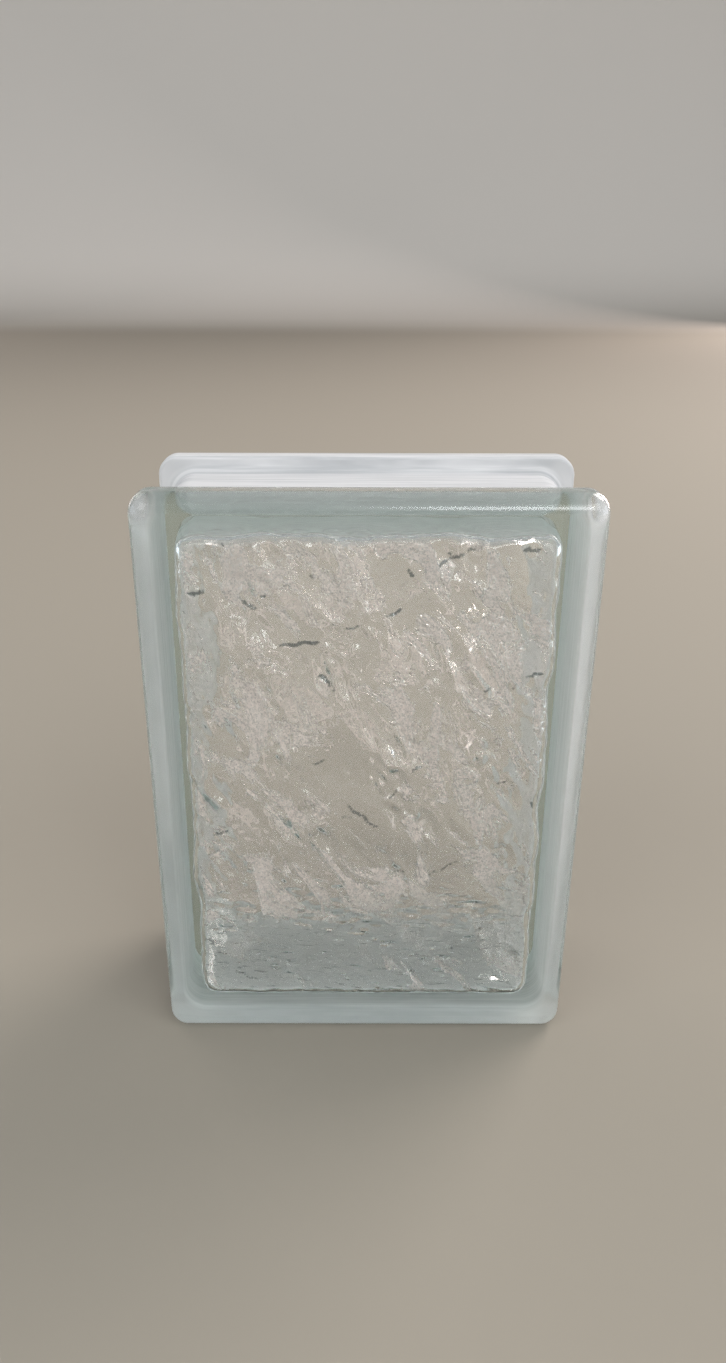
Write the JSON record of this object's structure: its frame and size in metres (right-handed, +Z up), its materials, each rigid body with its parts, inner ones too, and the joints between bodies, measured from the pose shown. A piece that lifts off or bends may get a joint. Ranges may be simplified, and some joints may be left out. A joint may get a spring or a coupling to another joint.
{
  "type": "glass block",
  "caption": "Hollow rectangular building block of clear pressed glass, with smooth outer faces, thick rounded lips and a recessed mortar channel around its edges.",
  "frame": {"origin": "centre of the underside, on the level that the block stands on", "axes": "+Z up along the height, +X along the width to the right, +Y through the depth from the front face to the back face"},
  "size_m": [0.146, 0.0794, 0.1969],
  "materials": {
    "clear_glass": "clear pressed soda-lime glass with a faint grey-green tint, fire-polished faces, a pressed ice-like relief on the inner faces and a whitish bond coat on the edges"
  },
  "bodies": {
    "root": {"front_half": "clear_glass", "back_half": "clear_glass"}
  },
  "joints": []
}
